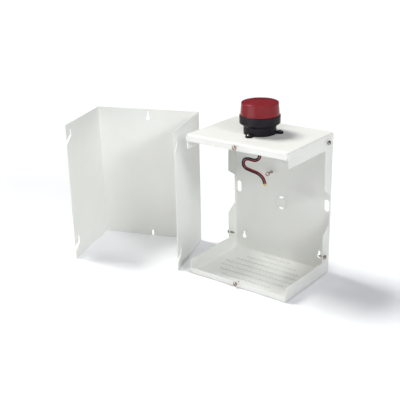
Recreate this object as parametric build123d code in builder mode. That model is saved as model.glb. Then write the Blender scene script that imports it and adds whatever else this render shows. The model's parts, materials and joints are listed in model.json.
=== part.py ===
from build123d import *
import math
import os

# A wall-mounted alarm signaller: a folded steel housing, its loose cover standing
# beside it, and a warning beacon on its roof.  Millimetres, +Z up.
# Origin: centre of the housing's underside.  +X is right, +Y is towards the wall.

# --- Housing, one folded and welded steel sheet ---------------------------------
housing_width = 205.0
housing_depth = 149.0
housing_height = 264.0
sheet = 1.5
bend = 2.5  # outside radius of each fold
corner_relief = 3.9  # radius of the round notch where three folds would meet
corner_joint = 0.3  # gap between a lip's end and the side flange beside it
roof_lip = 12.7  # front edge of the roof, folded down
floor_lip = 11.0  # front edge of the floor, folded up
roof_flange = 26.8  # sides of the roof, folded down
floor_flange = 26.5  # sides of the floor, folded up
back_flange = 25.8  # sides of the back plate, folded forward
waist_flange = 5.0  # what is left of them at the waist
waist_low = 94.0
waist_high = 149.5
waist_slope = 14.0  # height of the slanted step into the waist

half_width = housing_width / 2
front = -housing_depth / 2
back = housing_depth / 2
back_inside = back - sheet
roof_inside = housing_height - sheet

# --- Openings in the back plate and the floor --------------------------------------
keyhole_round = 4.25  # radius that the wall screw's head passes through
keyhole_slot = 4.3  # width of the narrow part above it
keyhole_rise = 8.7  # from the round part's centre to the slot's top seat
keyhole_x = 82.5
keyhole_low = 26.0  # height of the lower pair's round parts
keyhole_pitch = 210.0  # up to the upper pair
cable_slot_width = 9.5
cable_slot_length = 22.3
cable_slot_x = 94.2
cable_slot_z = 127.0
knockout_z = 112.8
knockout_radius = 12.3
knockout_kerf = 0.5
knockout_score = 1.0  # depth of the scored ring
knockout_window = (9.2, 3.8)
louvre_width = 2.4
louvre_pitch = 17.2
louvre_middle = -2.0  # Y of the middle of the eight sound slots
louvre_half_lengths = (80.0, 69.0, 54.5, 30.0)  # from the middle pair outwards

# --- Cover, a sheet folded into a U ------------------------------------------------
cover_width = 209.0
cover_depth = 146.5
cover_height = 264.5
cover_turn = 20.3  # degrees about +Z, as it stands beside the housing
cover_x = -223.7  # middle of its open side, on the floor
cover_y = -114.9
cover_drop = 2.5  # how far it hangs below the housing's underside when fitted
hook_width = 5.2  # slot that rides on a side screw
hook_leg = 10.4  # height of the slot's upright leg
hook_throat = 3.0  # height of the channel that leads into the leg
hook_mouth = 9.5  # height of its mouth at the sheet's free edge
hook_fall = 24.0  # degrees that its channel falls towards the mouth
panel_slot = 4.4
panel_round = 4.6
panel_rise = 12.2  # from the round part's centre to the slot's top seat

# --- Self-tapping screws that hold the cover ---------------------------------------
screw_radius = 2.1
screw_head_radius = 4.0
screw_head_height = 3.1
screw_reach = 11.1  # from the flange's outside to the point
screw_point = 3.2
screw_tip_radius = 0.25
screw_slack = 1.9  # room for the cover's sheet under the loosened head
screw_end_chamfer = 0.4  # on the plain end of any machine screw
screw_clearance = 0.05  # radial, in a close-fitting hole
side_screw_y = 53.6
side_screw_low = 37.0
side_screw_high = 249.7
roof_screw_z = 256.0
floor_screw_z = 6.9

# Any screw's head, as shares of its radius or of its height.
head_rim_share = 0.4
recess_length = 1.1
recess_width = 0.28
recess_depth = 0.6

# --- Earth screw in a clinched bush, standing out of the back plate ------------------
earth_x = -21.5
earth_z = 169.0
earth_radius = 2.0
earth_length = 14.0  # from the plate's inside to the head
earth_head_radius = 3.8
earth_head_height = 2.8
earth_bush_shank = 2.6  # radius of the bush inside the plate
earth_bush_flange = 3.0
earth_bush_rise = 1.0  # how far it stands out of the plate's inside
earth_washer_radius = 4.3
earth_washer_thickness = 0.9

# --- Beacon, on the roof's middle ----------------------------------------------------
body_radius = 28.1
body_wall = 2.2
body_height = 14.3
body_fillet = 3.0  # where the body flares into the collar
collar_radius = 35.1
collar_bottom = 19.0
collar_top = 32.6
collar_bore = 32.8
collar_rounding = 0.8
collar_foot_rounding = 1.6
ledge = 20.5  # seat of the reflector inside the collar
beacon_floor = 2.5
floor_hole_radius = 8.6
foot_chamfer = 0.8
ear_radius = 34.2  # of the three mounting screws' circle
ear_round = 5.8
ear_thickness = 3.0
ear_count = 3
ear_start = -90.0
ear_hole_radius = 2.1
ear_rounding = 0.7
seal_inner = 22.6
seal_outer = 25.4
seal_thickness = 1.2

lug_count = 3
lug_start = 90.0  # degrees, the middle of the first locked lug
lug_bottom = 25.5
lug_top = 27.6
lug_radius = 33.55
lug_arc = 14.0
lug_travel = 25.0  # degrees that the lens turns to unlock
groove_radius = 33.85
groove_bottom = 25.2
groove_top = 27.9
lug_play = 1.5  # degrees at each end

lens_skirt = 22.6
lens_skirt_radius = 32.5  # inside the collar
lens_radius = 33.6  # just above the collar
lens_gap = 0.3  # between its step and the collar's top
lens_shoulder_radius = 32.0
lens_shoulder = 54.7
lens_crown = 56.4
lens_crown_share = 0.76  # of the crown's rise, reached half way to the axis
lens_wall = 2.0
lens_corner = 2.2
lens_seal_bottom = 23.1
lens_seal_top = 24.5
lens_seal_inner = 31.4
lens_seal_outer = 32.72

beacon_screw_radius = 1.9
beacon_screw_head = 3.4
beacon_screw_head_height = 2.4
beacon_screw_reach = 9.0  # below the roof's top
nut_across_flats = 6.9
nut_height = 2.8
nut_chamfer = 0.35
washer_radius = 4.4
washer_thickness = 0.9

# --- What the beacon holds: heights above the roof, places from the beacon's axis ------
post_circle = 20.0
post_radius = 3.0
post_count = 3
post_start = 30.0
pilot_radius = 0.9
pilot_depth = 5.0
board_bottom = 8.0
board_thickness = 1.6
board_radius = 24.8
board_top = board_bottom + board_thickness
board_hole_radius = 1.4
board_screw_radius = 0.88
board_screw_head = 2.0
board_screw_head_height = 1.5
board_screw_reach = 5.5

core_place = (0.0, 12.5)
core_size = (16.0, 12.5, 5.0)
core_window = (3.0, 8.5)
core_window_x = 4.9  # from the core's middle
core_lift = 0.6  # the bobbin's flange under the core
winding_size = (12.6, 8.3, 7.4)
winding_bore = (6.8, 8.5)
winding_rounding = 0.5

can_place = (-12.5, -12.5)  # its closed end
can_radius = 5.0
can_length = 16.0
can_rounding = 0.6
can_groove = 13.2  # from the closed end
can_groove_width = 0.9
can_groove_depth = 0.4

coil_place = (14.5, -9.0)
coil_flange_radius = 3.4
coil_radius = 2.9
coil_levels = (0.0, 1.2, 6.8, 7.8)  # foot, winding's bottom and top, upper flange's top

transistor_place = (-15.5, 1.5)
transistor_size = (3.0, 8.0, 8.0)
transistor_rounding = 0.4
transistor_lift = 2.0
leg_count = 3
leg_size = (0.5, 0.8)
leg_pitch = 2.3

axial_x = (13.0, 16.2, 19.4)
axial_start = 1.0
axial_length = 6.0
axial_radius = 1.1
axial_lift = 1.6
axial_leg = 0.6
axial_leg_inset = 0.6
axial_leg_height = 1.0

reflector_rim = 31.9
reflector_seat = 24.8  # radius where its slope meets its rim's underside
reflector_table = 12.0  # radius of its flat top
reflector_crown = 28.0
reflector_wall = 1.5
reflector_slope_offset = 0.7  # sideways thickness of its slope
tube_radius = 2.6
tube_leg_x = 8.0
tube_leg_top = 40.0
tube_cap = 1.6
pin_radius = 0.5
pin_clearance = 0.1

# --- Grommet and twin lead ----------------------------------------------------------
grommet_hole = 6.0
grommet_bore = 3.6
grommet_rim = 8.0
grommet_rim_thickness = 1.2
lead_diameter = 2.9
lead_bare = 4.2
lead_bare_diameter = 2.2
lead_turn = 35.0  # the twin lead hangs in an upright plane, turned so from the XZ plane
# Routes in that plane: (sideways, height above the roof), from the board to the bare end.
red_route = [
    (1.6, 8), (1.6, -8), (0.9, -25), (1.8, -37.5), (0.9, -47.4), (-8.1, -52.2),
    (-19.2, -47.8), (-25.8, -48.5), (-27.4, -55.1), (-24.6, -61.5), (-14.6, -66.6),
    (-2.1, -71.4), (6.4, -80.1), (9.6, -87.0), (10.6, -92.3),
]
black_route = [
    (-1.6, 8), (-1.6, -8), (-2.2, -25), (-1.4, -37.5), (-2.1, -45.4), (-8.3, -48.8),
    (-18.9, -44.4), (-28.4, -45.7), (-30.6, -55.3), (-27.0, -63.7), (-15.8, -69.4),
    (-3.9, -74.0), (3.8, -81.9), (6.5, -87.7), (7.6, -92.7),
]
arc_share = 0.45  # of the shorter run beside a corner, spent on its arc

overshoot = 1.0  # how far a cutting tool passes the sheet
tolerance = 0.001


def save(piece, name):
    """Label a finished piece and write it under its node's name."""
    piece.part.label = name
    export_step(piece.part, f"parts/{name}.step")


def upright(origin, angle=0.0):
    """A plane standing on Z through origin: its x runs at angle in the floor, its y runs up."""
    turn = math.radians(angle)
    return Plane(
        origin=origin,
        x_dir=(math.cos(turn), math.sin(turn), 0),
        z_dir=(math.sin(turn), -math.cos(turn), 0),
    )


def lengthwise(place):
    """A plane that holds the axis of place: its x is place's x, its y runs out along the axis."""
    return Plane(origin=place.origin, x_dir=place.x_dir, z_dir=-place.y_dir)


# --- Housing --------------------------------------------------------------------------


def folded_block(width, depth, height, base, radius):
    """The space inside or outside a folded sheet: every edge is rounded but the two front
    uprights, where the lips and the side flanges only meet."""
    with BuildPart() as block:
        with BuildSketch(Plane.XY.offset(base)):
            Rectangle(width, depth)
        extrude(amount=height)
        front_uprights = block.edges().filter_by(Axis.Z).sort_by(Axis.Y)[:2]
        fillet(block.edges() - front_uprights, radius=radius)
    return block.part


def keyhole(round_radius, slot_width, rise):
    """Keyhole outline at the current location: round part at the centre, narrow slot upwards."""
    Circle(round_radius)
    with Locations((0, rise / 2)):
        Rectangle(slot_width, rise)
    with Locations((0, rise)):
        Circle(slot_width / 2)


def make_chassis():
    outside = folded_block(housing_width, housing_depth, housing_height, 0, bend)
    inside = folded_block(
        housing_width - 2 * sheet,
        housing_depth - 2 * sheet,
        housing_height - 2 * sheet,
        sheet,
        bend - sheet,
    )
    with BuildPart() as chassis:
        add(outside)
        add(inside, mode=Mode.SUBTRACT)

        # The front is open between the floor's lip and the roof's lip.
        with BuildSketch(Plane.XZ.offset(-front + overshoot)):
            with Locations((0, (floor_lip + housing_height - roof_lip) / 2)):
                Rectangle(
                    housing_width + 2 * overshoot, housing_height - roof_lip - floor_lip
                )
        extrude(amount=-(sheet + overshoot), mode=Mode.SUBTRACT)

        # A fine joint keeps each lip's ends apart from the side flanges.
        with BuildSketch(Plane.XY.offset(-overshoot)):
            with GridLocations(housing_width - 2 * sheet - corner_joint, 0, 2, 1):
                with Locations((0, front)):
                    Rectangle(corner_joint, 2 * sheet)
        extrude(amount=housing_height + 2 * overshoot, mode=Mode.SUBTRACT)

        # A round notch opens every corner where three folds would meet.
        with GridLocations(housing_width, housing_depth, 2, 2):
            with Locations((0, 0, 0), (0, 0, housing_height)):
                Sphere(corner_relief, mode=Mode.SUBTRACT)

        # Each side is open inside its flanges, which step back to a waist.
        with BuildSketch(Plane.YZ):
            with BuildLine():
                Polyline(
                    (front - overshoot, floor_flange),
                    (back - back_flange, floor_flange),
                    (back - back_flange, waist_low - waist_slope),
                    (back - waist_flange, waist_low),
                    (back - waist_flange, waist_high),
                    (back - back_flange, waist_high + waist_slope),
                    (back - back_flange, housing_height - roof_flange),
                    (front - overshoot, housing_height - roof_flange),
                    close=True,
                )
            make_face()
        extrude(amount=half_width + overshoot, both=True, mode=Mode.SUBTRACT)

        # Back plate: keyholes, cable slots, and the knock-out's two windows.
        with BuildSketch(Plane.XZ.offset(-back - overshoot)):
            with GridLocations(2 * keyhole_x, keyhole_pitch, 2, 2):
                with Locations((0, keyhole_low + keyhole_pitch / 2)):
                    keyhole(keyhole_round, keyhole_slot, keyhole_rise)
            with Locations((-cable_slot_x, cable_slot_z), (cable_slot_x, cable_slot_z)):
                SlotOverall(cable_slot_length, cable_slot_width, rotation=90)
            window_width, window_height = knockout_window
            reach = knockout_radius - window_height / 2
            with Locations((0, knockout_z - reach), (0, knockout_z + reach)):
                Rectangle(window_width, window_height)
            with Locations((earth_x, earth_z)):
                Circle(earth_bush_shank + screw_clearance)
        extrude(amount=sheet + 2 * overshoot, mode=Mode.SUBTRACT)

        # The knock-out's ring is only scored into the plate's inside.
        with BuildSketch(Plane.XZ.offset(-back_inside)):
            with Locations((0, knockout_z)):
                Circle(knockout_radius)
                Circle(knockout_radius - knockout_kerf, mode=Mode.SUBTRACT)
        extrude(amount=-knockout_score, mode=Mode.SUBTRACT)

        # Floor: eight slots that let the sound out.
        with BuildSketch(Plane.XY.offset(-overshoot)):
            for pair, half_length in enumerate(louvre_half_lengths):
                offset_y = (pair + 0.5) * louvre_pitch
                with Locations((0, louvre_middle - offset_y), (0, louvre_middle + offset_y)):
                    SlotOverall(2 * half_length, louvre_width)
        extrude(amount=sheet + 2 * overshoot, mode=Mode.SUBTRACT)

        # Roof: grommet hole in the middle, three holes for the beacon's screws.
        with BuildSketch(Plane.XY.offset(roof_inside - overshoot)):
            Circle(grommet_hole)
            with PolarLocations(ear_radius, ear_count, start_angle=ear_start):
                Circle(ear_hole_radius)
        extrude(amount=sheet + 2 * overshoot, mode=Mode.SUBTRACT)

        # Holes for the cover's screws.
        for place in cover_screw_places().values():
            with BuildSketch(place.offset(overshoot)):
                Circle(screw_radius + screw_clearance)
            extrude(amount=-(sheet + 2 * overshoot), mode=Mode.SUBTRACT)
    save(chassis, "chassis")


# --- Cover ------------------------------------------------------------------------


def make_cover():
    turn = math.radians(cover_turn)
    across = (math.cos(turn), math.sin(turn), 0)
    inwards = (-math.sin(turn), math.cos(turn), 0)
    floor_plane = Plane(origin=(cover_x, cover_y, 0), x_dir=across, z_dir=(0, 0, 1))
    side_plane = Plane(origin=(cover_x, cover_y, 0), x_dir=inwards, z_dir=across)
    panel_plane = upright((cover_x, cover_y, 0), cover_turn)
    half_cover = cover_width / 2

    # In the fitted cover the panel's inside lies on the housing's lips, so a side
    # screw stands this far from the sheet's free edge.
    leg_y = cover_depth - sheet - (side_screw_y - front)
    fall = math.tan(math.radians(hook_fall))

    with BuildPart() as cover:
        with BuildSketch(floor_plane):
            with BuildLine():
                Polyline(
                    (-half_cover, 0),
                    (-half_cover, cover_depth),
                    (half_cover, cover_depth),
                    (half_cover, 0),
                    (half_cover - sheet, 0),
                    (half_cover - sheet, cover_depth - sheet),
                    (-half_cover + sheet, cover_depth - sheet),
                    (-half_cover + sheet, 0),
                    close=True,
                )
            make_face()
        extrude(amount=cover_height)
        folds = cover.edges().filter_by(Axis.Z).sort_by(
            lambda edge: edge.center().dot(Vector(*inwards))
        )
        fillet(folds[-2:], radius=bend)
        fillet(folds[-4:-2], radius=bend - sheet)

        # Hook slots in both sides: a mouth at the free edge, a channel that rises
        # inwards, and an upright leg that drops onto the screw.
        for screw_z in (side_screw_low, side_screw_high):
            seat = screw_z + cover_drop
            foot = seat - hook_leg
            near = leg_y - hook_width / 2
            far = leg_y + hook_width / 2
            mouth_top = foot - near * fall + hook_throat / 2
            with BuildSketch(side_plane):
                with Locations((leg_y, seat)):
                    Circle(hook_width / 2)
                with BuildLine():
                    Polyline(
                        (near, seat),
                        (near, foot + hook_throat / 2),
                        (0, mouth_top),
                        (-overshoot, mouth_top),
                        (-overshoot, mouth_top - hook_mouth),
                        (0, mouth_top - hook_mouth),
                        (far, foot - hook_throat / 2),
                        (far, seat),
                        close=True,
                    )
                make_face()
            extrude(amount=half_cover + overshoot, both=True, mode=Mode.SUBTRACT)

        # Keyholes in the panel for the two front screws; the lower one's round part
        # runs out through the sheet's bottom edge.
        with BuildSketch(panel_plane.offset(-cover_depth - overshoot)):
            for screw_z in (floor_screw_z, roof_screw_z):
                seat = screw_z + cover_drop
                with Locations((0, seat - panel_rise)):
                    keyhole(panel_round, panel_slot, panel_rise)
        extrude(amount=sheet + 2 * overshoot, mode=Mode.SUBTRACT)
    save(cover, "cover")


# --- Screws -----------------------------------------------------------------------


def cover_screw_places():
    """Where each cover screw enters, on the outside of its flange, with z pointing outwards."""
    places = {}
    for level, height in (("lower", side_screw_low), ("upper", side_screw_high)):
        places[f"left_{level}"] = Plane(
            origin=(-half_width, side_screw_y, height), x_dir=(0, 1, 0), z_dir=(-1, 0, 0)
        )
        places[f"right_{level}"] = Plane(
            origin=(half_width, side_screw_y, height), x_dir=(0, 1, 0), z_dir=(1, 0, 0)
        )
    places["front_lower"] = upright((0, front, floor_screw_z))
    places["front_upper"] = upright((0, front, roof_screw_z))
    return places


def pan_screw(place, radius, head_radius, head_height, seat, reach, point=None, tip=None):
    """A pan-head cross-recess screw along place's z: its head sits at seat and it ends at
    -reach, in a small chamfer or, given a point's length and its tip's radius, in a point."""
    rim = seat + head_height * head_rim_share
    crown = seat + head_height
    if point is None:
        point = screw_end_chamfer
        tip = radius - screw_end_chamfer
    with BuildPart() as screw:
        with BuildSketch(lengthwise(place)):
            with BuildLine():
                Polyline(
                    (0, crown),
                    (0, -reach),
                    (tip, -reach),
                    (radius, point - reach),
                    (radius, seat),
                    (head_radius, seat),
                    (head_radius, rim),
                )
                TangentArc((0, crown), (head_radius, rim), tangent=(1, 0))
            make_face()
        revolve(axis=Axis(place.origin, place.z_dir))
        with BuildSketch(place.offset(crown)):
            Rectangle(head_radius * recess_length, head_radius * recess_width)
            Rectangle(head_radius * recess_width, head_radius * recess_length)
        extrude(amount=-head_height * recess_depth, mode=Mode.SUBTRACT)
    return screw


def make_cover_screws():
    for where, place in cover_screw_places().items():
        screw = pan_screw(
            place,
            screw_radius,
            screw_head_radius,
            screw_head_height,
            screw_slack,
            screw_reach,
            point=screw_point,
            tip=screw_tip_radius,
        )
        save(screw, f"cover_screw_{where}")


def hexagon_nut(place, across_flats, bore, height):
    """A plain hexagon nut standing on place."""
    with BuildPart() as nut:
        with BuildSketch(place):
            RegularPolygon(across_flats / 2, 6, major_radius=False)
            Circle(bore, mode=Mode.SUBTRACT)
        extrude(amount=height)
        far_face = nut.faces().sort_by(Axis(place.origin, place.z_dir))[-1]
        chamfer(far_face.outer_wire().edges(), nut_chamfer)
    return nut


def make_earth_screw():
    place = upright((earth_x, back_inside, earth_z))
    bore = earth_radius + screw_clearance
    screw = pan_screw(
        place, earth_radius, earth_head_radius, earth_head_height, earth_length, sheet
    )
    save(screw, "earth_screw")

    # The bush is clinched flush with the plate's wall side.
    with BuildPart() as bush:
        with BuildSketch(place):
            Circle(earth_bush_flange)
        extrude(amount=earth_bush_rise)
        with BuildSketch(place):
            Circle(earth_bush_shank)
        extrude(amount=-sheet)
        with BuildSketch(place.offset(earth_bush_rise)):
            Circle(bore)
        extrude(amount=-(earth_bush_rise + sheet), mode=Mode.SUBTRACT)
    save(bush, "earth_bush")

    with BuildPart() as washer:
        with BuildSketch(place.offset(earth_length - earth_washer_thickness)):
            Circle(earth_washer_radius)
            Circle(bore, mode=Mode.SUBTRACT)
        extrude(amount=earth_washer_thickness)
    save(washer, "earth_washer")


# --- Beacon -----------------------------------------------------------------------


def above_roof(height):
    """A level plane this far above the roof."""
    return Plane.XY.offset(housing_height + height)


def revolved_section(angle=0.0):
    """The upright plane through the beacon's axis, with its origin on the roof."""
    return upright((0, 0, housing_height), angle)


def lug_angles():
    """Where the middle of each bayonet lug stands when the lens is locked, in degrees."""
    return [lug_start + 360.0 * lug / lug_count for lug in range(lug_count)]


def make_beacon_base():
    with BuildPart() as base:
        with BuildSketch(revolved_section()):
            with BuildLine():
                FilletPolyline(
                    (floor_hole_radius, 0),
                    (body_radius, 0),
                    (body_radius, body_height),
                    (collar_radius, collar_bottom),
                    (collar_radius, collar_top),
                    (collar_bore, collar_top),
                    radius=[foot_chamfer, body_fillet, collar_foot_rounding, collar_rounding],
                )
                Polyline(
                    (collar_bore, collar_top),
                    (collar_bore, ledge),
                    (body_radius - body_wall, ledge),
                    (body_radius - body_wall, beacon_floor),
                    (floor_hole_radius, beacon_floor),
                    (floor_hole_radius, 0),
                )
            make_face()
        revolve(axis=Axis.Z)

        # Three mounting ears at the foot.
        neck_start = body_radius - body_wall / 2
        with BuildSketch(above_roof(0)):
            with PolarLocations(ear_radius, ear_count, start_angle=ear_start):
                Circle(ear_round)
            with PolarLocations(
                (neck_start + ear_radius) / 2, ear_count, start_angle=ear_start
            ):
                Rectangle(ear_radius - neck_start, 2 * ear_round)
        extrude(amount=ear_thickness)
        ear_tops = base.edges().filter_by(
            lambda edge: abs(edge.center().Z - housing_height - ear_thickness) < tolerance
        )
        ear_rims = ear_tops.filter_by(
            lambda edge: edge.geom_type == GeomType.LINE
            or abs(edge.radius - ear_round) < tolerance
        )
        fillet(ear_rims, radius=ear_rounding)
        with BuildSketch(above_roof(-overshoot)):
            with PolarLocations(ear_radius, ear_count, start_angle=ear_start):
                Circle(ear_hole_radius)
        extrude(amount=ear_thickness + 2 * overshoot, mode=Mode.SUBTRACT)

        # Posts that carry the circuit board, with pilot holes.
        with BuildSketch(above_roof(beacon_floor)):
            with PolarLocations(post_circle, post_count, start_angle=post_start):
                Circle(post_radius)
        extrude(amount=board_bottom - beacon_floor)
        with BuildSketch(above_roof(board_bottom)):
            with PolarLocations(post_circle, post_count, start_angle=post_start):
                Circle(pilot_radius)
        extrude(amount=-pilot_depth, mode=Mode.SUBTRACT)

        # Groove for the foot seal.
        with BuildSketch(above_roof(0)):
            Circle(seal_outer)
            Circle(seal_inner, mode=Mode.SUBTRACT)
        extrude(amount=seal_thickness, mode=Mode.SUBTRACT)

        # Bayonet grooves: each lug drops in at the unlocked end and turns back to lock.
        for locked in lug_angles():
            half_lug = lug_arc / 2 + lug_play
            for start, sweep, top in (
                (locked - half_lug, lug_travel + 2 * half_lug, groove_top),
                (locked + lug_travel - half_lug, 2 * half_lug, collar_top + overshoot),
            ):
                with BuildSketch(revolved_section(start)):
                    with BuildLine():
                        Polyline(
                            (collar_bore - overshoot, groove_bottom),
                            (groove_radius, groove_bottom),
                            (groove_radius, top),
                            (collar_bore - overshoot, top),
                            close=True,
                        )
                    make_face()
                revolve(axis=Axis.Z, revolution_arc=sweep, mode=Mode.SUBTRACT)
    save(base, "beacon_base")

    with BuildPart() as seal:
        with BuildSketch(above_roof(0)):
            Circle(seal_outer)
            Circle(seal_inner, mode=Mode.SUBTRACT)
        extrude(amount=seal_thickness)
    save(seal, "beacon_foot_seal")


def make_lens():
    crown_rise = lens_crown - lens_shoulder
    with BuildPart() as lens:
        with BuildSketch(revolved_section()):
            with BuildLine():
                Polyline(
                    (0, lens_crown - lens_wall),
                    (lens_shoulder_radius - lens_wall, lens_shoulder - lens_wall),
                    (lens_skirt_radius - lens_wall, collar_top),
                    (lens_skirt_radius - lens_wall, lens_skirt),
                    (lens_skirt_radius, lens_skirt),
                    (lens_skirt_radius, lens_seal_bottom),
                    (lens_seal_inner, lens_seal_bottom),
                    (lens_seal_inner, lens_seal_top),
                    (lens_skirt_radius, lens_seal_top),
                    (lens_skirt_radius, collar_top + lens_gap),
                    (lens_radius, collar_top + lens_gap),
                    (lens_shoulder_radius, lens_shoulder),
                )
                ThreePointArc(
                    (lens_shoulder_radius, lens_shoulder),
                    (lens_shoulder_radius / 2, lens_shoulder + crown_rise * lens_crown_share),
                    (0, lens_crown),
                )
                Line((0, lens_crown), (0, lens_crown - lens_wall))
            make_face()
        revolve(axis=Axis.Z)
        rings = lens.edges().filter_by(lambda edge: edge.is_closed)
        fillet(rings.sort_by(Axis.Z)[-1], radius=lens_corner)
        for locked in lug_angles():
            with BuildSketch(revolved_section(locked - lug_arc / 2)):
                with BuildLine():
                    Polyline(
                        (lens_skirt_radius - lens_wall / 2, lug_bottom),
                        (lug_radius, lug_bottom),
                        (lug_radius, lug_top),
                        (lens_skirt_radius - lens_wall / 2, lug_top),
                        close=True,
                    )
                make_face()
            revolve(axis=Axis.Z, revolution_arc=lug_arc)
    save(lens, "lens")

    with BuildPart() as seal:
        with BuildSketch(above_roof(lens_seal_bottom)):
            Circle(lens_seal_outer)
            Circle(lens_seal_inner, mode=Mode.SUBTRACT)
        extrude(amount=lens_seal_top - lens_seal_bottom)
    save(seal, "lens_seal")


def make_beacon_fasteners():
    screws = []
    washers = []
    nuts = []
    for spot in PolarLocations(ear_radius, ear_count, start_angle=ear_start).locations:
        x = spot.position.X
        y = spot.position.Y
        place = Plane(origin=(x, y, housing_height), x_dir=(1, 0, 0), z_dir=(0, 0, 1))
        under = Plane(origin=(x, y, roof_inside), x_dir=(1, 0, 0), z_dir=(0, 0, -1))
        screw = pan_screw(
            place,
            beacon_screw_radius,
            beacon_screw_head,
            beacon_screw_head_height,
            ear_thickness,
            beacon_screw_reach,
        )
        screws.append(screw.part)
        with BuildPart() as washer:
            with BuildSketch(under):
                Circle(washer_radius)
                Circle(ear_hole_radius, mode=Mode.SUBTRACT)
            extrude(amount=washer_thickness)
        washers.append(washer.part)
        nuts.append(
            hexagon_nut(
                under.offset(washer_thickness),
                nut_across_flats,
                beacon_screw_radius + screw_clearance,
                nut_height,
            ).part
        )
    for name, pieces in (
        ("beacon_screws", screws),
        ("beacon_washers", washers),
        ("beacon_nuts", nuts),
    ):
        with BuildPart() as group:
            add(pieces)
        save(group, name)


def make_board():
    with BuildPart() as board:
        with BuildSketch(above_roof(board_bottom)):
            Circle(board_radius)
            with PolarLocations(post_circle, post_count, start_angle=post_start):
                Circle(board_hole_radius, mode=Mode.SUBTRACT)
        extrude(amount=board_thickness)
    save(board, "circuit_board")

    with BuildPart() as screws:
        for spot in PolarLocations(post_circle, post_count, start_angle=post_start).locations:
            x = spot.position.X
            y = spot.position.Y
            screw = pan_screw(
                above_roof(board_top).move(Location((x, y, 0))),
                board_screw_radius,
                board_screw_head,
                board_screw_head_height,
                0,
                board_screw_reach,
            )
            add(screw.part)
    save(screws, "board_screws")


def make_components():
    # Inverter transformer: a two-window core round a wound bobbin.
    core_level = above_roof(board_top + core_lift)
    with BuildPart() as transformer_core:
        with BuildSketch(core_level):
            with Locations(core_place):
                Rectangle(core_size[0], core_size[1])
                with Locations((-core_window_x, 0), (core_window_x, 0)):
                    Rectangle(*core_window, mode=Mode.SUBTRACT)
        extrude(amount=core_size[2])
    save(transformer_core, "transformer_core")
    with BuildPart() as winding:
        with BuildSketch(above_roof(board_top)):
            with Locations(core_place):
                Rectangle(winding_size[0], winding_size[1])
        extrude(amount=winding_size[2])
        with BuildSketch(core_level):
            with Locations(core_place):
                Rectangle(*winding_bore)
        extrude(amount=core_size[2], mode=Mode.SUBTRACT)
        uprights = winding.edges().filter_by(Axis.Z).group_by(Axis.X)
        fillet(uprights[0] + uprights[-1], radius=winding_rounding)
    save(winding, "transformer_winding")

    # Reservoir capacitor, lying on its side with a rolled groove at its open end.
    can_height = housing_height + board_top + can_radius
    can = Plane(origin=(*can_place, can_height), x_dir=(0, 1, 0), z_dir=(1, 0, 0))
    with BuildPart() as capacitor:
        with BuildSketch(can):
            Circle(can_radius)
        extrude(amount=can_length)
        fillet(capacitor.edges().filter_by(GeomType.CIRCLE), radius=can_rounding)
        with BuildSketch(can.offset(can_groove)):
            Circle(can_radius + overshoot)
            Circle(can_radius - can_groove_depth, mode=Mode.SUBTRACT)
        extrude(amount=can_groove_width, mode=Mode.SUBTRACT)
    save(capacitor, "reservoir_capacitor")

    # Trigger coil for the flash tube: a small upright bobbin.
    coil_radii = (coil_flange_radius, coil_radius, coil_flange_radius)
    with BuildPart() as trigger:
        for radius, bottom, top in zip(coil_radii, coil_levels, coil_levels[1:]):
            with BuildSketch(above_roof(board_top + bottom)):
                with Locations(coil_place):
                    Circle(radius)
            extrude(amount=top - bottom)
    save(trigger, "trigger_coil")

    # Switching transistor standing on three legs.
    with BuildPart() as transistor:
        with BuildSketch(above_roof(board_top + transistor_lift)):
            with Locations(transistor_place):
                Rectangle(transistor_size[0], transistor_size[1])
        extrude(amount=transistor_size[2])
        fillet(transistor.edges().filter_by(Axis.Z), radius=transistor_rounding)
        with BuildSketch(above_roof(board_top)):
            with Locations(transistor_place):
                with GridLocations(0, leg_pitch, 1, leg_count):
                    Rectangle(*leg_size)
        extrude(amount=transistor_lift)
    save(transistor, "switching_transistor")

    # Three small axial parts beside the transformer, on short legs.
    barrel_height = housing_height + board_top + axial_lift
    leg_y = (axial_start + axial_leg_inset, axial_start + axial_length - axial_leg_inset)
    with BuildPart() as axial_parts:
        for x in axial_x:
            barrel = Plane(
                origin=(x, axial_start, barrel_height), x_dir=(1, 0, 0), z_dir=(0, 1, 0)
            )
            with BuildSketch(barrel):
                Circle(axial_radius)
            extrude(amount=axial_length)
            with BuildSketch(above_roof(board_top)):
                with Locations((x, leg_y[0]), (x, leg_y[1])):
                    Rectangle(axial_leg, axial_leg)
            extrude(amount=axial_leg_height)
    save(axial_parts, "resistors_and_diode")


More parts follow.
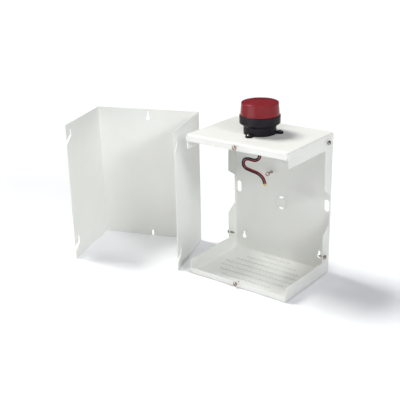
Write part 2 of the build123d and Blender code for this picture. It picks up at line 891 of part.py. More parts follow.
def make_flash():
    with BuildPart() as reflector:
        with BuildSketch(revolved_section()):
            with BuildLine():
                Polyline(
                    (0, reflector_crown),
                    (reflector_table, reflector_crown),
                    (reflector_seat + reflector_slope_offset, ledge + reflector_wall),
                    (reflector_rim, ledge + reflector_wall),
                    (reflector_rim, ledge),
                    (reflector_seat, ledge),
                    (reflector_table - reflector_slope_offset, reflector_crown - reflector_wall),
                    (0, reflector_crown - reflector_wall),
                    close=True,
                )
            make_face()
        revolve(axis=Axis.Z)
        with BuildSketch(above_roof(reflector_crown + overshoot)):
            with Locations((-tube_leg_x, 0), (tube_leg_x, 0)):
                Circle(pin_radius + pin_clearance)
        extrude(amount=-(reflector_wall + 2 * overshoot), mode=Mode.SUBTRACT)
    save(reflector, "reflector")

    tube_foot = reflector_crown + tube_cap
    with BuildPart() as tube:
        with BuildLine(revolved_section()) as bow:
            Line((-tube_leg_x, tube_foot), (-tube_leg_x, tube_leg_top))
            ThreePointArc(
                (-tube_leg_x, tube_leg_top),
                (0, tube_leg_top + tube_leg_x),
                (tube_leg_x, tube_leg_top),
            )
            Line((tube_leg_x, tube_leg_top), (tube_leg_x, tube_foot))
        with BuildSketch(above_roof(tube_foot)):
            with Locations((-tube_leg_x, 0)):
                Circle(tube_radius)
        sweep(path=bow.line)
    save(tube, "flash_tube")

    with BuildPart() as electrodes:
        with BuildSketch(above_roof(reflector_crown)):
            with Locations((-tube_leg_x, 0), (tube_leg_x, 0)):
                Circle(tube_radius)
        extrude(amount=tube_cap)
        with BuildSketch(above_roof(board_top)):
            with Locations((-tube_leg_x, 0), (tube_leg_x, 0)):
                Circle(pin_radius)
        extrude(amount=reflector_crown - board_top)
    save(electrodes, "flash_tube_electrodes")


# --- Grommet and leads ------------------------------------------------------------


def make_grommet():
    lower = -sheet
    with BuildPart() as grommet:
        with BuildSketch(revolved_section()):
            with BuildLine():
                Polyline(
                    (grommet_bore, grommet_rim_thickness),
                    (grommet_rim, grommet_rim_thickness),
                    (grommet_rim, 0),
                    (grommet_hole - screw_clearance, 0),
                    (grommet_hole - screw_clearance, lower),
                    (grommet_rim, lower),
                    (grommet_rim, lower - grommet_rim_thickness),
                    (grommet_bore, lower - grommet_rim_thickness),
                    close=True,
                )
            make_face()
        revolve(axis=Axis.Z)
    save(grommet, "lead_grommet")


def corner_radii(route):
    """For each inner point of a route, the largest arc that its two runs leave room for."""
    radii = []
    for before, here, after in zip(route, route[1:], route[2:]):
        run_in = Vector(*here) - Vector(*before)
        run_out = Vector(*after) - Vector(*here)
        half_turn = math.radians(run_in.get_angle(run_out) / 2)
        radii.append(arc_share * min(run_in.length, run_out.length) / math.tan(half_turn))
    return radii


def make_lead(colour, route):
    section = upright((0, 0, housing_height), lead_turn)
    radii = corner_radii(route)
    with BuildPart() as lead:
        with BuildLine(section) as drawn:
            FilletPolyline(*route, radius=radii)
        path = drawn.wire()
        with BuildSketch(Plane(origin=path @ 0, z_dir=path % 0)):
            Circle(lead_diameter / 2)
        sweep(path=path)
    save(lead, f"lead_{colour}")

    end = Plane(origin=path @ 1, z_dir=path % 1)
    with BuildPart() as bare_end:
        with BuildSketch(end):
            Circle(lead_bare_diameter / 2)
        extrude(amount=lead_bare)
    save(bare_end, f"lead_{colour}_bare_end")

    expected = path.length * math.pi * lead_diameter**2 / 4
    print(f"lead_{colour}: radii {[round(radius, 1) for radius in radii]} mm")
    print(f"  length {path.length:.1f} mm, volume {lead.part.volume:.1f} of {expected:.1f} mm3")


def main():
    os.makedirs("parts", exist_ok=True)
    make_chassis()
    make_cover()
    make_cover_screws()
    make_earth_screw()
    make_beacon_base()
    make_lens()
    make_beacon_fasteners()
    make_board()
    make_components()
    make_flash()
    make_grommet()
    make_lead("red", red_route)
    make_lead("black", black_route)


main()
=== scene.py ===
import json
import math

import bmesh
import bpy
from mathutils import Matrix, Vector


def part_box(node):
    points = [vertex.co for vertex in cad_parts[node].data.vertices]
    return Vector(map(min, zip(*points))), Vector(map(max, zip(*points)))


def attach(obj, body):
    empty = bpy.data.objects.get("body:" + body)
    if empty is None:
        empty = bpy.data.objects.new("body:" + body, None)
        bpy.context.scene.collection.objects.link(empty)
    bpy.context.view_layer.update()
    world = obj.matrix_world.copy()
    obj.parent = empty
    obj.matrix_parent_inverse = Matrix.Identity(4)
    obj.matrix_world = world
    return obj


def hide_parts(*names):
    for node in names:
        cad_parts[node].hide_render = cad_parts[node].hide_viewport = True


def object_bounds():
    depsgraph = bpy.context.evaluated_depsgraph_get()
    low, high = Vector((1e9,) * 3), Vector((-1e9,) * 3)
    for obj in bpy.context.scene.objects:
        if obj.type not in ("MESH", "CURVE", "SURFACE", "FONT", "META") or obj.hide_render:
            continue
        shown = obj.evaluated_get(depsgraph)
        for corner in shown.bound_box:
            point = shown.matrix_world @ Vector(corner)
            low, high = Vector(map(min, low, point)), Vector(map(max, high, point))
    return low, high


# The looks of an open alarm signaller: a folded white steel housing, its cover standing
# beside it, a red beacon on the roof and the beacon's twin lead.  Metres, +Z up.
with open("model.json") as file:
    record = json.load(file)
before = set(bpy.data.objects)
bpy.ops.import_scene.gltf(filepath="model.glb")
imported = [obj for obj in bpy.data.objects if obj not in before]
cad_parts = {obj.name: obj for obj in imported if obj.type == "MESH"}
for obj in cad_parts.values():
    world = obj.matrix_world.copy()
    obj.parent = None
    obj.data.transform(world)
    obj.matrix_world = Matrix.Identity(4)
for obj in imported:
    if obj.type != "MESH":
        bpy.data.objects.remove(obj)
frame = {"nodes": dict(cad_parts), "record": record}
cad_low, cad_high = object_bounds()
scene = bpy.context.scene
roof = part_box("chassis")[1].z

# --- Camera -------------------------------------------------------------------------
camera_place = (0.7019, -1.0726, 0.6241)
camera_heading = 37.91  # degrees to the left of +Y
camera_fall = 20.61  # degrees below the horizon
camera_roll = -1.33
camera_lens = 69.49
camera_sensor = 36.0

# --- Light --------------------------------------------------------------------------
sky_colour = (0.84, 0.92, 1.0)
sky_strength = 0.012
# Wide, sunlike studio lamps: the way to each seen from above, its height above the
# horizon and its width across in degrees, its colour and its strength.
suns = {
    "key": ((-0.98, -0.12), 54.0, 24.0, (1.0, 0.985, 0.955), 3.1),
    "rear_left": ((-0.71, 0.71), 35.0, 44.0, (0.86, 0.93, 1.0), 0.5),
    "right": ((0.95, -0.3), 25.0, 12.0, (0.96, 0.98, 1.0), 1.08),
    "front_right": ((0.71, -0.71), 35.0, 44.0, (0.98, 0.99, 1.0), 0.33),
}
shining = ("key", "front_right")  # those that show as highlights; the rest only fill
# Panels near the object: middle, the point they face, width, height, power, and whether
# they show only in gloss (True) or only light matt surfaces (False).
panels = {
    "soft_box": ((-0.293, -0.745, 0.45), (0.0, 0.0, 0.45), 0.60, 0.90, 4.6, True),
    "near_box": ((0.21, -0.65, 0.80), (-0.02, 0.0, 0.10), 0.45, 0.32, 2.7, False),
}

# --- Leads --------------------------------------------------------------------------
lead_diameter = 0.0029
lead_turn = 35.0  # the twin lead hangs in an upright plane, turned so from the XZ plane
# In that plane: (sideways, height above the roof), from the circuit board to the bare end.
lead_routes = {
    "red": [
        (0.0016, 0.008), (0.0016, -0.008), (0.0009, -0.025), (0.0018, -0.0375),
        (0.0009, -0.0474), (-0.0081, -0.0522), (-0.0192, -0.0478), (-0.0258, -0.0485),
        (-0.0274, -0.0551), (-0.0246, -0.0615), (-0.0146, -0.0666), (-0.0021, -0.0714),
        (0.0064, -0.0801), (0.0096, -0.0870), (0.0106, -0.0923),
    ],
    "black": [
        (-0.0016, 0.008), (-0.0016, -0.008), (-0.0022, -0.025), (-0.0014, -0.0375),
        (-0.0021, -0.0454), (-0.0083, -0.0488), (-0.0189, -0.0444), (-0.0284, -0.0457),
        (-0.0306, -0.0553), (-0.0270, -0.0637), (-0.0158, -0.0694), (-0.0039, -0.0740),
        (0.0038, -0.0819), (0.0065, -0.0877), (0.0076, -0.0927),
    ],
}
strand_radius = 0.00022
strand_twist = 0.011  # length of one turn of the strands
strand_spacing = 2.04  # from one layer's middle to the next, in strand radii
strand_steps = 12
strand_sides = 8
bare_length = 0.0042

# --- Screws -------------------------------------------------------------------------
# Each: the radii of the thread's crest and root, its pitch, the head's radius and height,
# the length from the head's seat to the end, the length of the point, and how far down
# the shank the thread starts.
cover_screw = dict(
    radius=0.0021, root=0.00155, pitch=0.0014, head_radius=0.0040, head_height=0.0031,
    length=0.0130, point=0.0032, thread_from=0.0006,
)
earth_screw = dict(
    radius=0.0020, root=0.00164, pitch=0.0007, head_radius=0.0038, head_height=0.0028,
    length=0.0155, point=0.0004, thread_from=0.0004,
)
beacon_screw = dict(
    radius=0.0019, root=0.00157, pitch=0.0007, head_radius=0.0034, head_height=0.0024,
    length=0.0120, point=0.0004, thread_from=0.0044,
)
recess_half_length = 0.55  # of the head's radius
recess_half_width = 0.15
recess_depth = 0.58  # of the head's height
recess_taper = 0.62  # the cross's size at its bottom over its size at the top
head_rim = 0.4  # upright part of the head's side, of its height
head_chamfer = 0.0001
seat_share = 0.985  # the flat seat's radius, of the head's
head_sides = 40
dome_steps = 9
shank_sides = 24
thread_steps = 10  # rows of faces in one turn
tooth_half_width = 0.32  # of the pitch
plain_tooth = 0.6  # thickness of the shank above the thread, from root (0) to crest (1)
point_end = 0.12  # the point's radius at its end, of the shank's
sharp_angle = 38.0  # degrees between faces, above which an edge stays sharp
# The beacon's ears: the circle that their screws stand on, where they stand on it in
# degrees, the height of the heads' seats above the roof, and how far each is turned.
ear_circle = 0.0342
ear_angles = (-90, 30, 150)
ear_height = 0.003
ear_spins = (15, 48, 80)

# --- Stage --------------------------------------------------------------------------
floor_half = 20.0
floor_drop = 0.0002  # below the lowest point of the object
wall_radius = 11.0
wall_height = 9.0
wall_sides = 48
wall_drop = 0.01  # how far the wall's foot goes below the object


# --- Materials ----------------------------------------------------------------------
shader_samples = 6  # rays of each rounded edge and of each test for the slots' painted shade


def new_material(name):
    """A material with its nodes, its links and its Principled shader."""
    material = bpy.data.materials.new(name)
    material.use_nodes = True
    tree = material.node_tree
    return material, tree.nodes, tree.links, tree.nodes["Principled BSDF"]


def place_of(nodes):
    """Object coordinates, which are the row frame's metres."""
    found = nodes.get("place")
    if found is None:
        found = nodes.new("ShaderNodeTexCoord")
        found.name = "place"
    return found.outputs["Object"]


def noise(nodes, links, size, detail=3.0):
    """Noise with features of about this size in metres."""
    mapping = nodes.new("ShaderNodeMapping")
    mapping.inputs["Scale"].default_value = [1 / size] * 3
    links.new(place_of(nodes), mapping.inputs["Vector"])
    texture = nodes.new("ShaderNodeTexNoise")
    texture.inputs["Scale"].default_value = 1.0
    texture.inputs["Detail"].default_value = detail
    links.new(mapping.outputs["Vector"], texture.inputs["Vector"])
    return texture.outputs["Fac"]


def ramp(nodes, links, value, low, high, start=0.35, end=0.65):
    """A value that goes from low to high as another goes from start to end."""
    node = nodes.new("ShaderNodeMapRange")
    node.inputs["From Min"].default_value = start
    node.inputs["From Max"].default_value = end
    node.inputs["To Min"].default_value = low
    node.inputs["To Max"].default_value = high
    links.new(value, node.inputs["Value"])
    return node.outputs["Result"]


def blend_colours(nodes, links, share, first, second):
    """A colour between first and second. Either may be a colour or another node's output."""
    node = nodes.new("ShaderNodeMix")
    node.data_type = "RGBA"
    for socket, value in ((node.inputs[6], first), (node.inputs[7], second)):
        if isinstance(value, tuple):
            socket.default_value = (*value, 1.0)
        else:
            links.new(value, socket)
    links.new(share, node.inputs[0])
    return node.outputs[2]


def bump(nodes, links, height, depth, normal, strength=1.0):
    """This normal roughened by a height, depth in metres."""
    node = nodes.new("ShaderNodeBump")
    node.inputs["Distance"].default_value = depth
    node.inputs["Strength"].default_value = strength
    links.new(height, node.inputs["Height"])
    links.new(normal, node.inputs["Normal"])
    return node.outputs["Normal"]


def soft_edge(nodes, radius):
    """The surface's normal with its edges rounded off."""
    node = nodes.new("ShaderNodeBevel")
    node.samples = shader_samples
    node.inputs["Radius"].default_value = radius
    return node.outputs["Normal"]


def grained(name, dark, light, patch, grain, depth, roughness, metallic=0.0, edge=0.0002):
    """A surface with slow colour patches, a fine grain in its relief and uneven gloss."""
    material, nodes, links, shader = new_material(name)
    patches = ramp(nodes, links, noise(nodes, links, patch), 0.0, 1.0)
    links.new(blend_colours(nodes, links, patches, dark, light), shader.inputs["Base Color"])
    fine = noise(nodes, links, grain, detail=2.0)
    links.new(ramp(nodes, links, fine, *roughness), shader.inputs["Roughness"])
    links.new(
        bump(nodes, links, fine, depth, normal=soft_edge(nodes, edge)), shader.inputs["Normal"]
    )
    shader.inputs["Metallic"].default_value = metallic
    return material, shader


def slot_shade_of(nodes, links, reach):
    """1 deep in slots, where shade is painted in, 0 on open faces and in the wide folds."""
    # Painted shade: ambient occlusion finds the deep slots, and the coat is greyed there.
    open_sky = nodes.new("ShaderNodeAmbientOcclusion")
    open_sky.samples = shader_samples
    open_sky.inputs["Distance"].default_value = reach
    return ramp(nodes, links, open_sky.outputs["AO"], 1.0, 0.0, start=0.08, end=0.42)


def white_powder_coat():
    """Textured powder coat on steel: orange peel, faint hand marks, and painted shade greying the
    deep slots.
    """
    material, nodes, links, shader = new_material("white_powder_coat")
    clean, handled = (0.80, 0.804, 0.775), (0.777, 0.781, 0.75)
    # Painted shade: the grey given to the slots' walls in place of the shade that falls there.
    slot_shade_colour = (0.40, 0.40, 0.39)
    patches = ramp(nodes, links, noise(nodes, links, 0.09), 0.0, 1.0)
    body = blend_colours(nodes, links, patches, handled, clean)
    # Painted shade in the slots, its strength varied by noise.
    slot_shade = nodes.new("ShaderNodeMath")
    slot_shade.operation = "MULTIPLY"
    links.new(slot_shade_of(nodes, links, 0.0035), slot_shade.inputs[0])
    shade_noise = noise(nodes, links, 0.03)
    links.new(ramp(nodes, links, shade_noise, 0.45, 0.75), slot_shade.inputs[1])
    links.new(
        blend_colours(nodes, links, slot_shade.outputs["Value"], body, slot_shade_colour),
        shader.inputs["Base Color"],
    )
    peel = noise(nodes, links, 0.0011, detail=2.0)
    links.new(ramp(nodes, links, peel, 0.38, 0.50), shader.inputs["Roughness"])
    links.new(
        bump(nodes, links, peel, 0.00005, strength=0.5, normal=soft_edge(nodes, 0.0004)),
        shader.inputs["Normal"],
    )
    shader.inputs["Specular IOR Level"].default_value = 0.35
    return material


def plated_steel():
    """Zinc-plated steel with a warm cast, darker patches, a fine grain and uneven gloss."""
    return grained(
        "screw_steel", dark=(0.30, 0.245, 0.215), light=(0.52, 0.445, 0.405), patch=0.0014,
        grain=0.00018, depth=0.000008, roughness=(0.10, 0.22), metallic=1.0, edge=0.00010,
    )[0]


def black_plastic():
    """Moulded black plastic with a spark-eroded grain and a soft shine."""
    material, shader = grained(
        "black_plastic", dark=(0.0135, 0.0112, 0.0150), light=(0.0190, 0.0160, 0.0210),
        patch=0.012, grain=0.0005, depth=0.00003, roughness=(0.36, 0.48), edge=0.0005,
    )
    shader.inputs["Specular IOR Level"].default_value = 0.11
    return material


def red_lens():
    """Dark red polycarbonate: glossy, moulded a little unevenly."""
    material, nodes, links, shader = new_material("red_lens")
    patches = ramp(nodes, links, noise(nodes, links, 0.03), 0.0, 1.0)
    links.new(
        blend_colours(nodes, links, patches, (0.208, 0.022, 0.028), (0.234, 0.026, 0.032)),
        shader.inputs["Base Color"],
    )
    fine = noise(nodes, links, 0.0016, detail=2.0)
    links.new(ramp(nodes, links, fine, 0.03, 0.05), shader.inputs["Roughness"])
    links.new(
        bump(nodes, links, fine, 0.000004, strength=0.4, normal=soft_edge(nodes, 0.0006)),
        shader.inputs["Normal"],
    )
    shader.inputs["Specular IOR Level"].default_value = 0.11
    shader.inputs["Subsurface Weight"].default_value = 0.15
    shader.inputs["Subsurface Radius"].default_value = (0.004, 0.0008, 0.0008)
    shader.inputs["Subsurface Scale"].default_value = 1.0
    return material


def insulation(name, dark, light):
    """Wire insulation: nearly matt, with a fine grain and faint patches."""
    material, shader = grained(
        name, dark, light, patch=0.004, grain=0.0004, depth=0.00002, roughness=(0.42, 0.56),
        edge=0.0001,
    )
    shader.inputs["Specular IOR Level"].default_value = 0.08
    return material


def bare_copper():
    """Bare copper wire: yellowish, a little tarnished."""
    return grained(
        "bare_wire", dark=(0.56, 0.46, 0.030), light=(0.74, 0.64, 0.060), patch=0.0008,
        grain=0.0002, depth=0.00001, roughness=(0.3, 0.45), metallic=0.25, edge=0.00005,
    )[0]


def circuit_laminate():
    """Green solder resist over a weave, the etched tracks showing as lighter bands."""
    material, nodes, links, shader = new_material("circuit_laminate")
    patches = ramp(nodes, links, noise(nodes, links, 0.006), 0.0, 1.0)
    body = blend_colours(nodes, links, patches, (0.010, 0.075, 0.030), (0.016, 0.11, 0.045))
    cells = nodes.new("ShaderNodeTexBrick")
    cells.inputs["Scale"].default_value = 260.0
    cells.inputs["Mortar Size"].default_value = 0.03
    links.new(place_of(nodes), cells.inputs["Vector"])
    tracks = ramp(nodes, links, cells.outputs["Fac"], 0.0, 0.7, start=0.2, end=0.8)
    links.new(
        blend_colours(nodes, links, tracks, body, (0.03, 0.20, 0.08)), shader.inputs["Base Color"]
    )
    weave = noise(nodes, links, 0.0004, detail=2.0)
    links.new(ramp(nodes, links, weave, 0.28, 0.4), shader.inputs["Roughness"])
    links.new(
        bump(nodes, links, weave, 0.00001, normal=soft_edge(nodes, 0.0002)),
        shader.inputs["Normal"],
    )
    return material


SLOT_MATERIALS = {
    "white_powder_coat": white_powder_coat(),
    "screw_steel": plated_steel(),
    "black_plastic": black_plastic(),
    "red_lens": red_lens(),
    "red_insulation": insulation("red_insulation", (0.17, 0.011, 0.017), (0.25, 0.018, 0.028)),
    "black_insulation": insulation(
        "black_insulation", (0.018, 0.018, 0.020), (0.035, 0.035, 0.037)
    ),
    "bare_wire": bare_copper(),
    "circuit_laminate": circuit_laminate(),
}
# The rest: dark and light colour, size of the patches of colour, size and depth of the
# grain, least and greatest roughness, and how metallic.
plain_surfaces = {
    "black_rubber": (
        (0.018, 0.018, 0.018), (0.035, 0.034, 0.033), 0.008, 0.0006, 0.00004, (0.6, 0.8), 0.0,
    ),
    "ferrite": (
        (0.045, 0.045, 0.05), (0.075, 0.075, 0.08), 0.003, 0.0003, 0.00004, (0.5, 0.7), 0.3,
    ),
    "winding_tape": (
        (0.62, 0.46, 0.06), (0.74, 0.58, 0.11), 0.005, 0.0005, 0.00002, (0.3, 0.45), 0.0,
    ),
    "capacitor_sleeve": (
        (0.012, 0.016, 0.05), (0.02, 0.026, 0.075), 0.006, 0.0004, 0.00001, (0.22, 0.34), 0.0,
    ),
    "component_epoxy": (
        (0.016, 0.016, 0.016), (0.03, 0.03, 0.03), 0.003, 0.0003, 0.00003, (0.45, 0.6), 0.0,
    ),
    "reflector_white": (
        (0.76, 0.76, 0.75), (0.84, 0.84, 0.83), 0.01, 0.0006, 0.00001, (0.2, 0.3), 0.0,
    ),
    "tube_glass": (
        (0.80, 0.84, 0.86), (0.90, 0.93, 0.95), 0.01, 0.001, 0.000004, (0.03, 0.07), 0.0,
    ),
    "electrode_metal": (
        (0.55, 0.55, 0.56), (0.72, 0.72, 0.73), 0.002, 0.0003, 0.00001, (0.2, 0.32), 1.0,
    ),
}
for name, finish in plain_surfaces.items():
    SLOT_MATERIALS[name] = grained(name, *finish)[0]


def wear(piece, slot):
    """Give a new piece the finish of a material slot."""
    piece.data.materials.clear()
    piece.data.materials.append(SLOT_MATERIALS[slot])


for part in frame["record"]["subparts"]:
    mesh = frame["nodes"][part["node"]].data
    mesh.materials.clear()
    mesh.materials.append(SLOT_MATERIALS[part["material_slot"]])


# --- Screws: making them ------------------------------------------------------------


def piece_from(mesh, name, smooth=True):
    """An object in the scene from a finished bmesh."""
    data = bpy.data.meshes.new(name)
    mesh.to_mesh(data)
    mesh.free()
    for face in data.polygons:
        face.use_smooth = smooth
    piece = bpy.data.objects.new(name, data)
    scene.collection.objects.link(piece)
    return piece


def solid_from(mesh, name):
    """An object from a closed bmesh, its doubled corners merged and its outside facing out."""
    bmesh.ops.remove_doubles(mesh, verts=mesh.verts, dist=1e-7)
    bmesh.ops.recalc_face_normals(mesh, faces=mesh.faces)
    return piece_from(mesh, name)


def turned(profile, sides, name):
    """A solid of revolution round +Z from (radius, height) steps, both ends on the axis."""
    mesh = bmesh.new()
    rings = []
    for radius, height in profile:
        if radius == 0.0:
            rings.append([mesh.verts.new((0, 0, height))])
        else:
            ring = []
            for side in range(sides):
                angle = 2 * math.pi * side / sides
                spot = (radius * math.cos(angle), radius * math.sin(angle), height)
                ring.append(mesh.verts.new(spot))
            rings.append(ring)
    for lower, upper in zip(rings, rings[1:]):
        for side in range(sides):
            after = (side + 1) % sides
            corners = (
                lower[side % len(lower)], lower[after % len(lower)],
                upper[after % len(upper)], upper[side % len(upper)],
            )
            mesh.faces.new(list(dict.fromkeys(corners)))
    return solid_from(mesh, name)


def threaded_shank(size, name):
    """A threaded shank down from the origin: a closed grid whose radius follows the helix."""
    rows = int(size["length"] / size["pitch"] * thread_steps)
    mesh = bmesh.new()
    rings = []
    for row in range(rows + 1):
        depth = size["length"] * row / rows
        left = size["length"] - depth
        shape = min(1.0, point_end + (1.0 - point_end) * left / size["point"])
        ring = []
        for side in range(shank_sides):
            share = side / shank_sides
            turn = (depth / size["pitch"] + share) % 1.0
            tooth = max(0.0, 1.0 - abs(turn - 0.5) / tooth_half_width)
            if depth < size["thread_from"]:
                tooth = plain_tooth
            radius = size["root"] + (size["radius"] - size["root"]) * tooth
            radius *= shape
            angle = 2 * math.pi * share
            spot = (radius * math.cos(angle), radius * math.sin(angle), -depth)
            ring.append(mesh.verts.new(spot))
        rings.append(ring)
    for upper, lower in zip(rings, rings[1:]):
        for side in range(shank_sides):
            after = (side + 1) % shank_sides
            mesh.faces.new((upper[side], upper[after], lower[after], lower[side]))
    mesh.faces.new(rings[0])
    mesh.faces.new(list(reversed(rings[-1])))
    return solid_from(mesh, name)


def cross_cutter(size):
    """A cross that tapers downwards, to sink a driver's recess into a head."""
    mesh = bmesh.new()
    long = size["head_radius"] * recess_half_length
    wide = size["head_radius"] * recess_half_width
    outline = [
        (long, -wide), (long, wide), (wide, wide),
        (wide, long), (-wide, long), (-wide, wide),
        (-long, wide), (-long, -wide), (-wide, -wide),
        (-wide, -long), (wide, -long), (wide, -wide),
    ]
    top = size["head_height"] * 1.3  # above the head, so that the cut comes out of it
    bottom = size["head_height"] * (1.0 - recess_depth)
    upper = [mesh.verts.new((x, y, top)) for x, y in outline]
    lower = []
    for x, y in outline:
        lower.append(mesh.verts.new((x * recess_taper, y * recess_taper, bottom)))
    for here in range(len(outline)):
        after = (here + 1) % len(outline)
        mesh.faces.new((lower[here], lower[after], upper[after], upper[here]))
    mesh.faces.new(upper)
    mesh.faces.new(list(reversed(lower)))
    return solid_from(mesh, "cross_cutter")


def cut_out(piece, tool):
    """Cut tool out of piece, for good, and delete the tool."""
    cut = piece.modifiers.new("cut", "BOOLEAN")
    cut.operation = "DIFFERENCE"
    cut.solver = "EXACT"
    cut.object = tool
    depsgraph = bpy.context.evaluated_depsgraph_get()
    finished = bpy.data.meshes.new_from_object(piece.evaluated_get(depsgraph))
    piece.modifiers.clear()
    piece.data = finished
    bpy.data.objects.remove(tool, do_unlink=True)


def make_screw(size, place, way, spin, name):
    """A pan-head cross-recess screw whose head sits at place and stands out along way."""
    rim = size["head_height"] * head_rim
    profile = [
        (0.0, 0.0),
        (size["head_radius"] * seat_share, 0.0),
        (size["head_radius"], head_chamfer),
        (size["head_radius"], rim),
    ]
    for step in range(1, dome_steps + 1):
        angle = math.pi / 2 * step / dome_steps
        profile.append((
            size["head_radius"] * math.cos(angle) if step < dome_steps else 0.0,
            rim + (size["head_height"] - rim) * math.sin(angle),
        ))
    head = turned(profile, head_sides, name)
    cut_out(head, cross_cutter(size))
    shank = threaded_shank(size, name + "_shank")
    mesh = bmesh.new()
    mesh.from_mesh(head.data)
    mesh.from_mesh(shank.data)
    bpy.data.objects.remove(shank, do_unlink=True)
    turn = Vector(way).to_track_quat("Z", "Y").to_matrix().to_4x4()
    where = Matrix.Translation(place) @ turn @ Matrix.Rotation(math.radians(spin), 4, "Z")
    mesh.transform(where)
    mesh.to_mesh(head.data)
    mesh.free()
    for face in head.data.polygons:
        face.use_smooth = True
    head.data.set_sharp_from_angle(angle=math.radians(sharp_angle))
    wear(head, "screw_steel")
    return head


def seat_of(node, way, height):
    """The middle of a CAD screw's head seat, from the box round the screw."""
    low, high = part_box(node)
    middle = (low + high) / 2
    for axis in range(3):
        if way[axis] > 0:
            middle[axis] = high[axis] - height
        elif way[axis] < 0:
            middle[axis] = low[axis] + height
    return middle


# --- Screws: placing them -----------------------------------------------------------
# The cover's: the way each head points, and how far its cross is turned in degrees.
cover_screws = {
    "left_lower": ((-1, 0, 0), 20), "left_upper": ((-1, 0, 0), 65),
    "right_lower": ((1, 0, 0), 50), "right_upper": ((1, 0, 0), 12),
    "front_lower": ((0, -1, 0), 34), "front_upper": ((0, -1, 0), 71),
}
for where, (way, spin) in cover_screws.items():
    node = f"cover_screw_{where}"
    seat = seat_of(node, way, cover_screw["head_height"])
    screw = make_screw(cover_screw, seat, way, spin, f"{node}_threaded")
    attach(screw, node)
    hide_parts(node)

seat = seat_of("earth_screw", (0, -1, 0), earth_screw["head_height"])
screw = make_screw(earth_screw, seat, (0, -1, 0), 25, "earth_screw_threaded")
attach(screw, "housing")
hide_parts("earth_screw")

screws = bmesh.new()
for angle, spin in zip(ear_angles, ear_spins):
    turn = math.radians(angle)
    seat = Vector((
        ear_circle * math.cos(turn),
        ear_circle * math.sin(turn),
        roof + ear_height,
    ))
    screw = make_screw(beacon_screw, seat, (0, 0, 1), spin, "beacon_screw")
    screws.from_mesh(screw.data)
    bpy.data.objects.remove(screw, do_unlink=True)
screws = piece_from(screws, "beacon_screws_threaded")
screws.data.set_sharp_from_angle(angle=math.radians(sharp_angle))
wear(screws, "screw_steel")
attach(screws, "housing")
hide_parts("beacon_screws")


# --- Leads: making them -------------------------------------------------------------


def lead_point(sideways, height):
    """A place on a lead's route, from its place in the lead's upright plane."""
    turn = math.radians(lead_turn)
    return Vector((sideways * math.cos(turn), sideways * math.sin(turn), roof + height))


def make_lead(colour):
    """The lead as one smooth spline that hangs from the circuit board through the grommet."""
    curve = bpy.data.curves.new(f"lead_{colour}_cord", "CURVE")
    curve.dimensions = "3D"
    curve.resolution_u = 16
    curve.bevel_depth = lead_diameter / 2
    curve.bevel_resolution = 6
    curve.use_fill_caps = True
    points = [lead_point(*step) for step in lead_routes[colour]]
    spline = curve.splines.new("NURBS")
    spline.points.add(len(points) - 1)
    for point, place in zip(spline.points, points):
        point.co = (*place, 1.0)
    spline.order_u = 3
    spline.use_endpoint_u = True
    lead = bpy.data.objects.new(f"lead_{colour}_cord", curve)
    scene.collection.objects.link(lead)
    wear(lead, f"{colour}_insulation")
    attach(lead, "housing")
    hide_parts(f"lead_{colour}")
    return lead, points


def make_strands(colour, end, direction):
    """The bare end: one straight strand, then six and twelve wound round it, each cut off."""
    sideways = direction.orthogonal().normalized()
    across = direction.cross(sideways)
    mesh = bmesh.new()
    strands = [(0.0, 0.0)]
    for layer in (1, 2):
        for place in range(6 * layer):
            strands.append((strand_spacing * layer * strand_radius, place / (6 * layer)))
    for offset, start in strands:
        rings = []
        for step in range(strand_steps + 1):
            along = bare_length * step / strand_steps
            angle = 2 * math.pi * (start + along / strand_twist)
            middle = end + direction * along
            middle += (sideways * math.cos(angle) + across * math.sin(angle)) * offset
            ring = []
            for side in range(strand_sides):
                around = 2 * math.pi * side / strand_sides
                spoke = sideways * math.cos(around) + across * math.sin(around)
                ring.append(mesh.verts.new(middle + spoke * strand_radius))
            rings.append(ring)
        for lower, upper in zip(rings, rings[1:]):
            for side in range(strand_sides):
                after = (side + 1) % strand_sides
                mesh.faces.new((lower[side], lower[after], upper[after], upper[side]))
        mesh.faces.new(list(reversed(rings[0])))
        mesh.faces.new(rings[-1])
    bmesh.ops.recalc_face_normals(mesh, faces=mesh.faces)
    piece = piece_from(mesh, f"lead_{colour}_strands")
    wear(piece, "bare_wire")
    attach(piece, "housing")
    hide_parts(f"lead_{colour}_bare_end")
    return piece


for colour in lead_routes:
    lead, points = make_lead(colour)
    heading = (points[-1] - points[-2]).normalized()
    strands = make_strands(colour, points[-1], heading)


# --- Stage: making it ---------------------------------------------------------------


def make_floor():
    """A wide white floor just under the object."""
    mesh = bmesh.new()
    corners = [
        (-floor_half, -floor_half), (floor_half, -floor_half),
        (floor_half, floor_half), (-floor_half, floor_half),
    ]
    level = cad_low.z - floor_drop
    mesh.faces.new([mesh.verts.new((x, y, level)) for x, y in corners])
    floor = piece_from(mesh, "floor", smooth=False)
    material, _, _, shader = new_material("floor")
    shader.inputs["Base Color"].default_value = (0.96, 0.97, 0.995, 1.0)
    shader.inputs["Roughness"].default_value = 0.9
    shader.inputs["Specular IOR Level"].default_value = 0.1
    floor.data.materials.append(material)


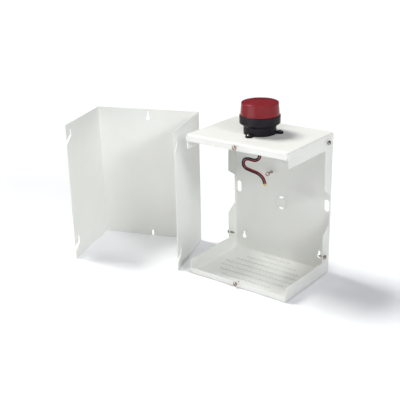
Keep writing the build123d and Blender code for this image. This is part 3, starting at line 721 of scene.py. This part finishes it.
def make_backdrop():
    """A white ring wall on the floor that only the camera sees."""
    mesh = bmesh.new()
    rims = []
    for level in (cad_low.z - wall_drop, wall_height):
        rim = []
        for side in range(wall_sides):
            angle = 2 * math.pi * side / wall_sides
            spot = (wall_radius * math.cos(angle), wall_radius * math.sin(angle), level)
            rim.append(mesh.verts.new(spot))
        rims.append(rim)
    for side in range(wall_sides):
        after = (side + 1) % wall_sides
        mesh.faces.new((rims[0][side], rims[1][side], rims[1][after], rims[0][after]))
    wall = piece_from(mesh, "backdrop")
    material, _, _, shader = new_material("backdrop")
    shader.inputs["Base Color"].default_value = (0.0, 0.0, 0.0, 1.0)
    shader.inputs["Emission Color"].default_value = (1.0, 1.0, 1.0, 1.0)
    shader.inputs["Emission Strength"].default_value = 1.0
    wall.data.materials.append(material)
    wall.visible_diffuse = False
    wall.visible_glossy = False
    wall.visible_transmission = False
    wall.visible_shadow = False


def make_sun(name, heading, height, width, colour, strength):
    """A wide lamp a long way off."""
    sun = bpy.data.lights.new(name, "SUN")
    sun.color = colour
    sun.energy = strength
    sun.angle = math.radians(width)
    lamp = bpy.data.objects.new(name, sun)
    rise = math.radians(height)
    towards = Vector((*heading, 0)).normalized() * math.cos(rise)
    towards.z = math.sin(rise)
    lamp.rotation_euler = towards.to_track_quat("Z", "Y").to_euler()
    lamp.visible_glossy = name in shining
    scene.collection.objects.link(lamp)


def make_panel(name, middle, target, width, height, strength, gloss_only):
    """A lit rectangle near the object, unseen itself."""
    panel = bpy.data.lights.new(name, "AREA")
    panel.shape = "RECTANGLE"
    panel.size = width
    panel.size_y = height
    panel.energy = strength
    lamp = bpy.data.objects.new(name, panel)
    lamp.location = middle
    outwards = Vector(middle) - Vector(target)
    lamp.rotation_euler = outwards.to_track_quat("Z", "Y").to_euler()
    lamp.visible_camera = False
    lamp.visible_diffuse = not gloss_only
    lamp.visible_glossy = gloss_only
    scene.collection.objects.link(lamp)


def make_lights():
    """The dim sky, the lamps and the panels."""
    world = bpy.data.worlds.new("studio")
    world.use_nodes = True
    background = world.node_tree.nodes["Background"]
    background.inputs["Color"].default_value = (*sky_colour, 1.0)
    background.inputs["Strength"].default_value = sky_strength
    scene.world = world
    for name, values in suns.items():
        make_sun(name, *values)
    for name, values in panels.items():
        make_panel(name, *values)


def make_camera():
    """The camera, at the photograph's angle."""
    camera = bpy.data.cameras.new("camera")
    camera.lens = camera_lens
    camera.sensor_width = camera_sensor
    stand = bpy.data.objects.new("camera", camera)
    stand.matrix_world = (
        Matrix.Translation(camera_place)
        @ Matrix.Rotation(math.radians(camera_heading), 4, "Z")
        @ Matrix.Rotation(math.radians(90.0 - camera_fall), 4, "X")
        @ Matrix.Rotation(math.radians(camera_roll), 4, "Z")
    )
    scene.collection.objects.link(stand)
    scene.camera = stand


make_floor()
make_backdrop()
make_lights()
make_camera()
scene.view_settings.view_transform = "Standard"
